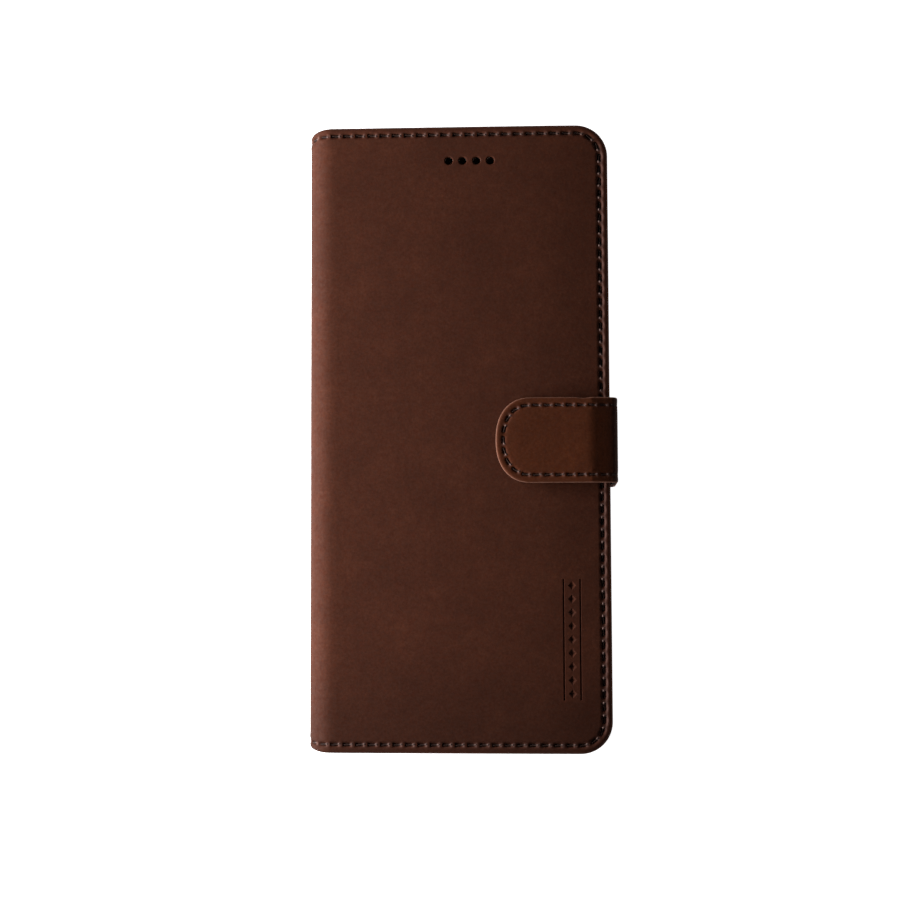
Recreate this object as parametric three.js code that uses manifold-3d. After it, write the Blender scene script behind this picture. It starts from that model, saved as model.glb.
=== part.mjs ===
// A folio wallet case for a phone, closed and lying on its back.
// Units are millimetres and +Z is up. The spine is on the -X side, the clasp strap on the +X side,
// and +Y is the top of the phone. Z = 0 is the face that the case lies on.
import * as THREE from 'three';
import { mergeVertices } from 'three/addons/utils/BufferGeometryUtils.js';
import Module from 'manifold-3d';

const wasm = await Module();
wasm.setup();

// ---------------------------------------------------------------- driving dimensions

// The closed case.
const caseLength = 168;
const caseThickness = 16.5;
const spineX = -41;
const edgeX = 39;
const cornerRadius = 8.5;
const spineRadius = 6;

// The layers of a cover, as depths from its outer face.
const leather = 0.8;
const boardDepth = 0.85;
const board = 0.8;
const liningDepth = 1.75;
const lining = 0.5;
const hemWidth = 3;
const liningInset = 0.6;
const layerGap = 0.05;

// The stitched seams.
const seamInset = 2.0;
const threadWidth = 0.5;
const threadDepth = 0.35;
const grooveClearance = 0.1;

// The phone and the tray that holds it.
const phoneWidth = 70.6;
const phoneLength = 158.2;
const phoneThickness = 8.2;
const phoneCornerRadius = 7.8;
const phoneX = 1.9;
const trayWall = 1.2;
const trayFloor = 1.1;
const trayLip = 0.8;
const trayLipHeight = 0.4;
const adhesive = 0.15;

// The clasp strap, whose middle lies a little below the middle of the case.
const strapWidth = 22.7;
const strapY = -1.35;
const strapTipX = 8.6;
const strapOuterX = 41;
const strapLeather = 0.65;
const strapLining = 0.6;
const strapBendRadius = 1.9;
const strapCreaseX = 34;
const flapCore = 0.85;
const flapEndLength = 9.5;
const flapEndExponent = 2.3;
const flapRim = 1;
const flapSeamInset = 1.9;

// Pockets inside the front cover.
const pocketPanel = 0.4;
const cardPocketMouths = { card_pocket_top: 24, card_pocket_middle: 10, card_pocket_bottom: -4 };

// ---------------------------------------------------------------- worked-out places

const halfLength = caseLength / 2;
const halfStrap = strapWidth / 2;
const plateStartX = spineX + spineRadius;
const foldGapAngle = 0.15 / spineRadius;
const strapGapAngle = 0.15 / strapBendRadius;
const hemDepth = liningDepth - layerGap;

const adhesiveZ = liningDepth + lining + layerGap;
const trayZ = adhesiveZ + adhesive + layerGap;
const trayFloorZ = trayZ + trayFloor;
const phoneTopZ = trayFloorZ + phoneThickness;
const trayTopZ = phoneTopZ + trayLipHeight;
const trayOuterX = phoneX + phoneWidth / 2 + trayWall;

const strapThickness = strapLeather + layerGap + strapLining;
const bendX = strapOuterX - strapBendRadius;
const flapUndersideZ = caseThickness + 0.1;
const thinFlapTopZ = flapUndersideZ + strapThickness;
const upperBendZ = thinFlapTopZ - strapBendRadius;
const rootZ = leather + layerGap;
const rootThickness = board;
const rootLength = 10;
const rootClearance = 0.3;
const lowerBendZ = rootZ + strapBendRadius;
const flapLiningTopZ = flapUndersideZ + strapLining;
const flapCoreZ = flapLiningTopZ + layerGap;
const flapSheetZ = flapCoreZ + flapCore + layerGap;
const flapTopZ = flapSheetZ + strapLeather;

const windowPlace = { x: 24.5, y: 60, width: 18, length: 32, radius: 6 };
const earpiece = { x: phoneX + 0.1, y: halfLength - 9.7, pitch: 3.72, radius: 1.05, count: 4 };
const chargingPort = { width: 12, height: 5 };
const keys = {
  volume_key: { y: 42, length: 22 },
  power_key: { y: 21, length: 10 },
};
const keyHeight = 3.6;
const keyProud = 0.4;
const keyThickness = 1.4;
const keyClearance = 0.3;
const claspPlate = { x: 21, width: 18, length: 14, thickness: 0.5 };
const magnet = { x: 21, width: 14, length: 10 };

// ---------------------------------------------------------------- solids and cuts

function solidOf(geometry) {
  const plain = geometry.index ? geometry.toNonIndexed() : geometry.clone();
  plain.deleteAttribute('normal');
  plain.deleteAttribute('uv');
  const merged = mergeVertices(plain, 1e-4);
  return new wasm.Manifold(new wasm.Mesh({
    numProp: 3,
    vertProperties: merged.attributes.position.array,
    triVerts: new Uint32Array(merged.index.array),
  }));
}

function geometryOf(solid) {
  const mesh = solid.getMesh();
  const geometry = new THREE.BufferGeometry();
  geometry.setAttribute('position', new THREE.BufferAttribute(mesh.vertProperties, 3));
  geometry.setIndex(new THREE.BufferAttribute(mesh.triVerts, 1));
  const faceted = geometry.toNonIndexed();
  faceted.computeVertexNormals();
  return faceted;
}

function cut(geometry, ...cutters) {
  return geometryOf(cutters.reduce((left, cutter) => left.subtract(solidOf(cutter)), solidOf(geometry)));
}

function join(geometry, ...others) {
  return geometryOf(others.reduce((whole, other) => whole.add(solidOf(other)), solidOf(geometry)));
}

function common(geometry, other) {
  return geometryOf(solidOf(geometry).intersect(solidOf(other)));
}

// An outline in the XY plane, raised from z0 to z1.
function plate(outline, z0, z1, curveSegments = 6) {
  const settings = { depth: z1 - z0, bevelEnabled: false, curveSegments };
  return new THREE.ExtrudeGeometry(outline, settings).translate(0, 0, z0);
}

// A section drawn in the XZ plane, drawn out along Y from y0 to y1.
function bent(section, y0, y1, curveSegments = 5) {
  const settings = { depth: y1 - y0, bevelEnabled: false, curveSegments };
  return new THREE.ExtrudeGeometry(section, settings).rotateX(Math.PI / 2).translate(0, y1, 0);
}

function block(x0, x1, y0, y1, z0, z1) {
  const box = new THREE.BoxGeometry(x1 - x0, y1 - y0, z1 - z0);
  return box.translate((x0 + x1) / 2, (y0 + y1) / 2, (z0 + z1) / 2);
}

function roundHole(radius, x, y, z0, z1, sides = 14) {
  const pin = new THREE.CylinderGeometry(radius, radius, z1 - z0, sides);
  return pin.rotateX(Math.PI / 2).translate(x, y, (z0 + z1) / 2);
}

// ---------------------------------------------------------------- outlines and sections

function roundedRectangle(x, y, width, length, radius) {
  const right = x + width / 2 - radius;
  const left = x - width / 2 + radius;
  const top = y + length / 2 - radius;
  const bottom = y - length / 2 + radius;
  const shape = new THREE.Shape();
  shape.absarc(right, top, radius, 0, Math.PI / 2);
  shape.absarc(left, top, radius, Math.PI / 2, Math.PI);
  shape.absarc(left, bottom, radius, Math.PI, Math.PI * 1.5);
  shape.absarc(right, bottom, radius, Math.PI * 1.5, Math.PI * 2);
  return shape;
}

// A cover's plan: square towards the spine, round at the two corners of the free edge.
function coverOutline(inset, leftX = plateStartX) {
  const radius = cornerRadius - inset;
  const centreX = edgeX - cornerRadius;
  const centreY = halfLength - cornerRadius;
  const shape = new THREE.Shape();
  shape.moveTo(leftX, centreY + radius);
  shape.lineTo(leftX, -centreY - radius);
  shape.absarc(centreX, -centreY, radius, -Math.PI / 2, 0);
  shape.absarc(centreX, centreY, radius, 0, Math.PI / 2);
  return shape;
}

// The flap's plan: its round end is half of a superellipse, and its sides run straight to rightX.
function flapOutline(inset, rightX) {
  const halfWidth = halfStrap - inset;
  const endLength = flapEndLength - inset;
  const endX = strapTipX + flapEndLength;
  const steps = 18;
  const shape = new THREE.Shape();
  shape.moveTo(rightX, -halfWidth);
  shape.lineTo(rightX, halfWidth);
  for (let i = 0; i <= steps; i += 1) {
    const turn = Math.PI * (0.5 + i / steps);
    const along = Math.abs(Math.cos(turn)) ** (2 / flapEndExponent);
    const across = Math.sign(Math.sin(turn)) * Math.abs(Math.sin(turn)) ** (2 / flapEndExponent);
    shape.lineTo(endX - endLength * along, halfWidth * across);
  }
  return shape;
}

// A sheet of a cover between two depths from the outer face, from the free edge to the middle of the fold.
// side is 1 for the back cover, whose outer face is down, and -1 for the front cover.
function coverSection(side, depth0, depth1) {
  const z = (depth) => (side > 0 ? depth : caseThickness - depth);
  const plateAngle = -side * Math.PI / 2;
  const foldAngle = -side * (Math.PI * 0.75 - foldGapAngle);
  const section = new THREE.Shape();
  section.moveTo(edgeX, z(depth0));
  section.lineTo(plateStartX, z(depth0));
  section.absarc(plateStartX, z(spineRadius), spineRadius - depth0, plateAngle, foldAngle, side > 0);
  section.absarc(plateStartX, z(spineRadius), spineRadius - depth1, foldAngle, plateAngle, side < 0);
  section.lineTo(edgeX, z(depth1));
  return section;
}

// A sheet of the spine between two depths, from the middle of the lower fold to that of the upper one.
function spineSection(depth0, depth1) {
  const foldAngle = Math.PI * 0.75 + foldGapAngle;
  const upperZ = caseThickness - spineRadius;
  const outer = spineRadius - depth0;
  const inner = spineRadius - depth1;
  const section = new THREE.Shape();
  section.absarc(plateStartX, spineRadius, outer, -foldAngle, -Math.PI, true);
  section.absarc(plateStartX, upperZ, outer, Math.PI, foldAngle, true);
  section.absarc(plateStartX, upperZ, inner, foldAngle, Math.PI, false);
  section.absarc(plateStartX, spineRadius, inner, -Math.PI, -foldAngle, false);
  return section;
}

// A sheet of the strap's upright side between two depths, from bend to bend.
function strapSideSection(depth0, depth1) {
  const bendAngle = Math.PI / 4 - strapGapAngle;
  const outer = strapBendRadius - depth0;
  const inner = strapBendRadius - depth1;
  const section = new THREE.Shape();
  section.absarc(bendX, lowerBendZ, outer, -bendAngle, 0, false);
  section.absarc(bendX, upperBendZ, outer, 0, bendAngle, false);
  section.absarc(bendX, upperBendZ, inner, bendAngle, 0, true);
  section.absarc(bendX, lowerBendZ, inner, 0, -bendAngle, true);
  return section;
}

// The thin band of a seam that runs round a cover's three free edges, grown by the groove's clearance.
function coverSeam(z0, z1, clearance) {
  const outerInset = seamInset - clearance;
  const innerInset = seamInset + threadWidth + clearance;
  const leftX = plateStartX - clearance;
  const hollow = plate(coverOutline(innerInset, leftX - 1), z0 - 1, z1 + 1);
  return cut(plate(coverOutline(outerInset, leftX), z0, z1), hollow);
}

function flapSeam(z0, z1, clearance) {
  const rightX = strapCreaseX - 1 + clearance;
  const hollow = plate(flapOutline(flapSeamInset + threadWidth + clearance, rightX + 1), z0 - 1, z1 + 1);
  return cut(plate(flapOutline(flapSeamInset - clearance, rightX), z0, z1), hollow);
}

const sideSigns = { top: 1, bottom: -1 };

// ---------------------------------------------------------------- materials

function material(colour, roughness, metalness = 0) {
  return new THREE.MeshStandardMaterial({ color: colour, roughness, metalness });
}

const outerLeather = material('#4a2c20', 0.62);
const strapLeatherMaterial = material('#4d2c17', 0.6);
const liningMaterial = material('#3b2219', 0.75);
const threadMaterial = material('#6b4a40', 0.7);
const trayMaterial = material('#38241b', 0.5);
const boardMaterial = material('#8d8577', 0.9);
const glueMaterial = material('#d9d4c8', 0.4);
const steelMaterial = material('#9a9a9c', 0.35, 1);

function node(name, geometry, look) {
  const mesh = new THREE.Mesh(geometry, look);
  mesh.name = name;
  return mesh;
}

// ---------------------------------------------------------------- covers

// One cover's outer leather: the sheet, and the hem turned in round the board along three edges.
function coverLeather(side, ...cutters) {
  const z = (depth) => (side > 0 ? depth : caseThickness - depth);
  const span = (depth0, depth1) => [Math.min(z(depth0), z(depth1)), Math.max(z(depth0), z(depth1))];
  const sheet = bent(coverSection(side, 0, leather), -halfLength, halfLength);
  const plan = plate(coverOutline(0, spineX - 1), -1, caseThickness + 1);
  const hem = cut(
    plate(coverOutline(0), ...span(leather / 2, hemDepth)),
    plate(coverOutline(hemWidth, plateStartX - 1), ...span(leather / 4, hemDepth + 1)),
  );
  const groove = coverSeam(...span(-1, threadDepth + grooveClearance / 2), grooveClearance);
  return cut(join(common(sheet, plan), hem), groove, ...cutters);
}

function coverSpan(side, depth0, depth1) {
  return side > 0 ? [depth0, depth1] : [caseThickness - depth1, caseThickness - depth0];
}

const cameraWindow = (grow) => plate(
  roundedRectangle(
    windowPlace.x, windowPlace.y, windowPlace.width + 2 * grow, windowPlace.length + 2 * grow,
    windowPlace.radius + grow,
  ),
  -1, trayFloorZ + 1,
);

const earpieceHoles = Array.from({ length: earpiece.count }, (_, i) => {
  const x = earpiece.x + (i - (earpiece.count - 1) / 2) * earpiece.pitch;
  return roundHole(earpiece.radius, x, earpiece.y, caseThickness - 4, caseThickness + 1);
});

function backCover() {
  const group = new THREE.Group();
  const rootSlot = block(
    edgeX - rootLength - rootClearance, edgeX + 1,
    strapY - halfStrap - rootClearance, strapY + halfStrap + rootClearance,
    leather, hemDepth + 1,
  );
  const boardOutline = coverOutline(hemWidth + 0.1);
  group.add(
    node('back_leather', coverLeather(1, cameraWindow(0), rootSlot), outerLeather),
    node('back_board', cut(
      plate(boardOutline, ...coverSpan(1, boardDepth, boardDepth + board)), cameraWindow(1), rootSlot,
    ), boardMaterial),
    node('back_lining', cut(
      plate(coverOutline(liningInset), ...coverSpan(1, liningDepth, liningDepth + lining)), cameraWindow(0.3),
    ), liningMaterial),
    node('back_seam_thread', coverSeam(0, threadDepth, 0), threadMaterial),
    node('tray_adhesive', cut(
      plate(roundedRectangle(phoneX, 0, phoneWidth - 10, phoneLength - 10, 5), adhesiveZ, adhesiveZ + adhesive),
      cameraWindow(1.5),
    ), glueMaterial),
    node('strap_root', strapRoot(), strapLeatherMaterial),
  );
  return group;
}

function frontCover() {
  const group = new THREE.Group();
  const plateSlot = (grow) => [
    claspPlate.x - claspPlate.width / 2 - grow, claspPlate.x + claspPlate.width / 2 + grow,
    strapY - claspPlate.length / 2 - grow, strapY + claspPlate.length / 2 + grow,
  ];
  const plateZ = caseThickness - boardDepth - claspPlate.thickness;
  group.add(
    node('front_leather', coverLeather(-1, ...earpieceHoles), outerLeather),
    node('front_board', cut(
      plate(coverOutline(hemWidth + 0.1), ...coverSpan(-1, boardDepth, boardDepth + board)),
      block(...plateSlot(keyClearance), plateZ - 0.1, caseThickness), ...earpieceHoles,
    ), boardMaterial),
    node('clasp_plate', block(...plateSlot(0), plateZ, plateZ + claspPlate.thickness), steelMaterial),
    node('front_lining', cut(
      plate(coverOutline(liningInset), ...coverSpan(-1, liningDepth, liningDepth + lining)), ...earpieceHoles,
    ), liningMaterial),
    node('front_seam_thread', coverSeam(caseThickness - threadDepth, caseThickness, 0), threadMaterial),
  );
  addPockets(group);
  return group;
}

// The cash pocket's panel lies on the lining, and three stepped card pockets lie on it.
function addPockets(group) {
  const left = plateStartX + 3;
  const right = edgeX - 4;
  const bottom = -halfLength + 6;
  const panels = { cash_pocket: 52, ...cardPocketMouths };
  let depth = liningDepth + lining + layerGap;
  for (const [name, mouthY] of Object.entries(panels)) {
    const outline = roundedRectangle((left + right) / 2, (bottom + mouthY) / 2, right - left, mouthY - bottom, 2);
    group.add(node(name, plate(outline, ...coverSpan(-1, depth, depth + pocketPanel), 3), liningMaterial));
    depth += pocketPanel + layerGap;
  }
}

function spine() {
  const group = new THREE.Group();
  const threads = Object.entries(sideSigns).map(([end, sign]) => ({
    end,
    middle: sign * (halfLength - seamInset - threadWidth / 2),
  }));
  const grooveDepth = threadDepth + grooveClearance / 2;
  const halfGroove = threadWidth / 2 + grooveClearance;
  const grooves = threads.map(({ middle }) => (
    bent(spineSection(-1, grooveDepth), middle - halfGroove, middle + halfGroove)
  ));
  const skin = bent(spineSection(0, leather), -halfLength, halfLength);
  const innerEnd = halfLength - liningInset;
  group.add(
    node('spine_leather', cut(skin, ...grooves), outerLeather),
    node('spine_lining', bent(spineSection(leather + 0.1, leather + 0.1 + lining), -innerEnd, innerEnd), liningMaterial),
  );
  for (const { end, middle } of threads) {
    const band = bent(spineSection(0, threadDepth), middle - threadWidth / 2, middle + threadWidth / 2);
    group.add(node(`spine_thread_${end}`, band, threadMaterial));
  }
  return group;
}

// ---------------------------------------------------------------- phone tray and its keys

const keyZ = trayFloorZ + phoneThickness / 2;

function keyBlock(key, grow, x0, x1) {
  const half = key.length / 2 + grow;
  const halfHeight = keyHeight / 2 + grow;
  return block(x0, x1, key.y - half, key.y + half, keyZ - halfHeight, keyZ + halfHeight);
}

function phoneTray() {
  const wallY = -phoneLength / 2;
  const outside = plate(
    roundedRectangle(
      phoneX, 0, phoneWidth + 2 * trayWall, phoneLength + 2 * trayWall, phoneCornerRadius + trayWall,
    ), trayZ, trayTopZ,
  );
  const bay = plate(
    roundedRectangle(phoneX, 0, phoneWidth, phoneLength, phoneCornerRadius), trayFloorZ, phoneTopZ,
  );
  const mouth = plate(
    roundedRectangle(
      phoneX, 0, phoneWidth - 2 * trayLip, phoneLength - 2 * trayLip, phoneCornerRadius - trayLip,
    ), phoneTopZ - 1, trayTopZ + 1,
  );
  const port = block(
    phoneX - chargingPort.width / 2, phoneX + chargingPort.width / 2, wallY - trayWall - 1, wallY + 1,
    keyZ - chargingPort.height / 2, keyZ + chargingPort.height / 2,
  );
  const vents = [-1, 1].flatMap((side) => [0, 1, 2, 3].map((i) => {
    const x = phoneX + side * (chargingPort.width / 2 + 4 + i * 3);
    const vent = new THREE.CylinderGeometry(0.75, 0.75, 4, 10);
    return vent.translate(x, wallY - trayWall / 2, keyZ);
  }));
  const keySlots = Object.values(keys).map((key) => keyBlock(key, keyClearance, trayOuterX - 3, trayOuterX + 1));
  return cut(outside, bay, mouth, cameraWindow(0.3), port, ...vents, ...keySlots);
}

function keyPad(key) {
  const outerX = trayOuterX + keyProud;
  return keyBlock(key, 0, outerX - keyThickness, outerX);
}

// ---------------------------------------------------------------- clasp strap

// The tab sewn between the back cover's leather and lining, up to the middle of the lower bend.
function strapRoot() {
  const foldAngle = -Math.PI / 4 - strapGapAngle;
  const inner = strapBendRadius - rootThickness;
  const section = new THREE.Shape();
  section.moveTo(edgeX - rootLength, rootZ);
  section.lineTo(bendX, rootZ);
  section.absarc(bendX, lowerBendZ, strapBendRadius, -Math.PI / 2, foldAngle, false);
  section.absarc(bendX, lowerBendZ, inner, foldAngle, -Math.PI / 2, true);
  section.lineTo(edgeX - rootLength, rootZ + rootThickness);
  return bent(section, strapY - halfStrap, strapY + halfStrap);
}

function strapSide() {
  const group = new THREE.Group();
  group.position.y = strapY;
  const seamY = halfStrap - flapSeamInset - threadWidth / 2;
  const z0 = lowerBendZ + 0.4;
  const z1 = upperBendZ - 0.4;
  const band = (sign, grow, x0, x1) => block(
    x0, x1, sign * seamY - threadWidth / 2 - grow, sign * seamY + threadWidth / 2 + grow, z0 - grow, z1 + grow,
  );
  const floorX = strapOuterX - threadDepth;
  const grooves = Object.values(sideSigns).map((sign) => (
    band(sign, grooveClearance, floorX - grooveClearance / 2, strapOuterX + 1)
  ));
  const outer = bent(strapSideSection(0, strapLeather), -halfStrap, halfStrap);
  const inner = bent(strapSideSection(strapLeather + layerGap, strapThickness), -halfStrap, halfStrap);
  group.add(
    node('strap_side_leather', cut(outer, ...grooves), strapLeatherMaterial),
    node('strap_side_lining', inner, liningMaterial),
  );
  for (const [end, sign] of Object.entries(sideSigns)) {
    group.add(node(`strap_side_thread_${end}`, band(sign, 0, floorX, strapOuterX), threadMaterial));
  }
  return group;
}

function strapFlap() {
  const group = new THREE.Group();
  group.position.y = strapY;
  const foldAngle = Math.PI / 4 + strapGapAngle;
  const tall = plate(flapOutline(0, strapOuterX + 1), flapUndersideZ - 1, flapTopZ + 1);

  const sheet = new THREE.Shape();
  sheet.moveTo(strapTipX - 1, flapTopZ);
  sheet.lineTo(strapTipX - 1, flapSheetZ);
  sheet.lineTo(strapCreaseX - 1, flapSheetZ);
  sheet.lineTo(strapCreaseX, flapCoreZ);
  sheet.absarc(bendX, upperBendZ, strapBendRadius - strapLeather, Math.PI / 2, foldAngle, true);
  sheet.absarc(bendX, upperBendZ, strapBendRadius, foldAngle, Math.PI / 2, false);
  sheet.lineTo(strapCreaseX, flapTopZ);
  const rim = cut(
    plate(flapOutline(0, strapCreaseX), flapCoreZ, flapSheetZ + 0.1),
    plate(flapOutline(flapRim, strapCreaseX + 1), flapCoreZ - 1, flapSheetZ + 1),
  );
  const groove = flapSeam(flapTopZ - threadDepth - grooveClearance / 2, flapTopZ + 1, grooveClearance);
  const top = cut(join(common(bent(sheet, -halfStrap, halfStrap), tall), rim), groove);

  const under = new THREE.Shape();
  under.moveTo(strapTipX - 1, flapUndersideZ);
  under.lineTo(bendX, flapUndersideZ);
  under.absarc(bendX, upperBendZ, strapBendRadius - strapThickness, Math.PI / 2, foldAngle, true);
  under.absarc(bendX, upperBendZ, strapBendRadius - strapLeather - layerGap, foldAngle, Math.PI / 2, false);
  under.lineTo(strapTipX - 1, flapLiningTopZ);

  const coreZ = [flapCoreZ, flapCoreZ + flapCore];
  const magnetSlot = (grow) => roundedRectangle(
    magnet.x, 0, magnet.width + 2 * grow, magnet.length + 2 * grow, 1 + grow,
  );
  group.add(
    node('strap_flap_leather', top, strapLeatherMaterial),
    node('strap_flap_lining', common(bent(under, -halfStrap, halfStrap), tall), liningMaterial),
    node('strap_flap_stiffener', cut(
      plate(flapOutline(flapRim + 0.1, strapCreaseX - 1.3), ...coreZ),
      plate(magnetSlot(0.3), flapCoreZ - 1, flapSheetZ),
    ), boardMaterial),
    node('strap_magnet', plate(magnetSlot(0), coreZ[0], coreZ[1]), steelMaterial),
    node('strap_flap_thread', flapSeam(flapTopZ - threadDepth, flapTopZ, 0), threadMaterial),
  );
  return group;
}

// ---------------------------------------------------------------- the whole case

const walletCase = new THREE.Group();
walletCase.add(backCover(), spine(), frontCover(), strapSide(), strapFlap());
walletCase.add(node('phone_tray', phoneTray(), trayMaterial));
for (const [name, key] of Object.entries(keys)) {
  walletCase.add(node(name, keyPad(key), trayMaterial));
}

export default walletCase;
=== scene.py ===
"""A leather phone wallet case, closed on its back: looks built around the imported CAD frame.

Lengths are in metres and written as millimetres times MM. The covers and the strap are built as flat
leather, s running in from a free end and y across it, and then laid along their bent sections.
"""
import math
import random

import bmesh
import bpy
import numpy as np
from mathutils import Matrix, Vector


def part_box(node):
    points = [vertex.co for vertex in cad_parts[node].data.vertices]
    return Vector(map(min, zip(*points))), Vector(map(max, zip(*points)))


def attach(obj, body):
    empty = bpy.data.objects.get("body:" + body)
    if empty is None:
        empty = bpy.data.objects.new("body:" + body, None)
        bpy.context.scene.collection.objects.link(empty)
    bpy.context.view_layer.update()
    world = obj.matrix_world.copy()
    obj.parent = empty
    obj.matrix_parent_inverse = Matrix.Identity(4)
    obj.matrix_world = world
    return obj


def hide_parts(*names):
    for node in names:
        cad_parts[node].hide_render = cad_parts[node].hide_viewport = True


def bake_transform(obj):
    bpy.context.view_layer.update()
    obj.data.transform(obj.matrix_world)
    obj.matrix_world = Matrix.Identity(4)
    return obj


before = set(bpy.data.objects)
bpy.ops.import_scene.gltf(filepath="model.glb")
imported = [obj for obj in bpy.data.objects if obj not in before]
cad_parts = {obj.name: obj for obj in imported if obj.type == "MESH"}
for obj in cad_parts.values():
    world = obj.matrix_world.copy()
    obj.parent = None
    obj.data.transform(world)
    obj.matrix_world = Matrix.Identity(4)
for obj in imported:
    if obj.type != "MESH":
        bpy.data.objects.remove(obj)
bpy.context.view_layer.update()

MM = 0.001
SHARP = 1e-6  # a corner radius too small to see
QUARTER = math.pi / 2

# ---- places and sizes taken from the frame ----
EDGE, HALF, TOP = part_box("front_leather")[1]
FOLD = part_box("back_board")[0].x
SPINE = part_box("spine_leather")[0].x
BEND = FOLD - SPINE
FLAT = EDGE - FOLD
SPINE_S = FLAT + BEND * QUARTER + (TOP / 2 - BEND)
STRAP_LOW, STRAP_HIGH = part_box("strap_flap_leather")
STRAP_HALF = (STRAP_HIGH.y - STRAP_LOW.y) / 2
STRAP_MIDDLE = (STRAP_HIGH.y + STRAP_LOW.y) / 2
STRAP_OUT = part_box("strap_side_leather")[1].x
PHONE_X = (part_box("phone_tray")[0].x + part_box("phone_tray")[1].x) / 2

# ---- leather work ----
# A painted shade below SHADE_START leaves the colour as it is. From a rim to FINE_DEPTH, where the
# stitches and their hollows lie, the mesh is fine.
SHADE_START = 0.35
FINE_DEPTH = 3.5 * MM
LEATHER = 0.8 * MM
CORNER = 8.5 * MM
SEAM_THREAD = 0.5 * MM
SEAM_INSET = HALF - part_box("front_seam_thread")[1].y + SEAM_THREAD / 2
SEAM_PITCH = 3.25 * MM
HEM_WIDTH = 3.0 * MM
LINING_INSET = 0.6 * MM
STRAP_PITCH = 3.0 * MM
STRAP_SEAM = 2.1 * MM
STRAP_CREASE = 34 * MM
STRAP_BEND = 1.9 * MM
STRAP_GAP = 0.1 * MM
STRAP_THICK = 1.3 * MM
FLAP_THICK = STRAP_HIGH.z - TOP - STRAP_GAP
UPPER_BEND = Vector((STRAP_OUT - STRAP_BEND, 0, TOP + STRAP_GAP + STRAP_THICK - STRAP_BEND))
LOWER_BEND = Vector((STRAP_OUT - STRAP_BEND, 0, 0.85 * MM + STRAP_BEND))


# ---- meshes ----
def add_object(name, data):
    """A new object in the scene."""
    obj = bpy.data.objects.new(name, data)
    bpy.context.scene.collection.objects.link(obj)
    return obj


def make_object(name, points, faces, uvs=None, shades=None, crease=38):
    """A smooth-shaded closed mesh object whose edges over `crease` degrees stay sharp.

    shades maps the name of a point attribute that a material reads, such as wear, to its values."""
    mesh = bpy.data.meshes.new(name)
    mesh.from_pydata([tuple(p) for p in points], [], faces)
    if uvs is not None:
        layer = mesh.uv_layers.new(name="leather")
        loops = np.zeros(len(mesh.loops), int)
        mesh.loops.foreach_get("vertex_index", loops)
        layer.data.foreach_set("uv", np.asarray(uvs, float)[loops].ravel())
    for shade, values in (shades or {}).items():
        attribute = mesh.attributes.new(shade, "FLOAT", "POINT")
        attribute.data.foreach_set("value", np.asarray(values, np.float32))
    obj = add_object(name, mesh)
    turn_outward(obj, crease)
    return obj


def turn_outward(obj, crease=38):
    """Faces outward, smooth shading and sharp edges by angle."""
    mesh = obj.data
    work = bmesh.new()
    work.from_mesh(mesh)
    bmesh.ops.recalc_face_normals(work, faces=work.faces)
    if work.calc_volume(signed=True) < 0:
        bmesh.ops.reverse_faces(work, faces=work.faces)
    work.to_mesh(mesh)
    work.free()
    mesh.polygons.foreach_set("use_smooth", [True] * len(mesh.polygons))
    mesh.set_sharp_from_angle(angle=math.radians(crease))


def carve(obj, cutters, crease=38):
    """Cuts the cutters out of obj and removes them."""
    for cutter in cutters:
        modifier = obj.modifiers.new("cut", "BOOLEAN")
        modifier.operation = "DIFFERENCE"
        modifier.solver = "EXACT"
        modifier.object = cutter
    bpy.context.view_layer.update()
    result = bpy.data.meshes.new_from_object(obj.evaluated_get(bpy.context.evaluated_depsgraph_get()))
    obj.modifiers.clear()
    obj.data = result
    for cutter in cutters:
        bpy.data.objects.remove(cutter)
    obj.data.set_sharp_from_angle(angle=math.radians(crease))


def tube_faces(rings, count, base=0):
    """The faces of a closed tube of rings with `count` points each: a cap, its sides and a cap."""
    faces = [list(range(base, base + count))]
    for start in range(base, base + (rings - 1) * count, count):
        for k in range(count):
            a, b = start + k, start + (k + 1) % count
            faces.append([a, b, b + count, a + count])
    last = base + (rings - 1) * count
    return faces + [list(range(last, last + count))]


def ring_loft(name, rings, crease=38):
    """A closed body through rings of points with the same count, capped at both ends."""
    points = [p for ring in rings for p in ring]
    faces = tube_faces(len(rings), len(rings[0]))
    return make_object(name, points, faces, uvs=[(p[0], p[1]) for p in points], crease=crease)


def quarter_turns(steps):
    """The angles of a quarter turn in even steps, from 0 to a right angle."""
    return [QUARTER * k / steps for k in range(steps + 1)]


def circle(radius, sides, z, centre=(0, 0)):
    """Points evenly round a level circle."""
    turns = [2 * math.pi * k / sides for k in range(sides)]
    return [(centre[0] + radius * math.cos(a), centre[1] + radius * math.sin(a), z) for a in turns]


def running_length(points):
    """The length of a line up to each of its points."""
    return np.concatenate([[0], np.cumsum(np.hypot(*np.diff(np.array(points), axis=0).T))])


def rounded_rectangle(x0, x1, y0, y1, radius, steps=8):
    """Points around a rounded rectangle, counter-clockwise."""
    radius = max(min(radius, (x1 - x0) / 2 - SHARP, (y1 - y0) / 2 - SHARP), SHARP)
    corners = [(x1 - radius, y1 - radius, 0), (x0 + radius, y1 - radius, 1),
               (x0 + radius, y0 + radius, 2), (x1 - radius, y0 + radius, 3)]
    points = []
    for cx, cy, quarter in corners:
        for k in range(steps + 1):
            angle = QUARTER * (quarter + k / steps)
            points.append((cx + radius * math.cos(angle), cy + radius * math.sin(angle)))
    return points


def inset_loft(name, low, high, radius, walls, steps, crease=38):
    """A body through rounded rectangles, one for each (inset, z) of walls."""
    rings = []
    for inset, z in walls:
        outline = rounded_rectangle(low[0] + inset, high[0] - inset, low[1] + inset, high[1] - inset,
                                    radius - inset, steps)
        rings.append([(x, y, z) for x, y in outline])
    return ring_loft(name, rings, crease)


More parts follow.
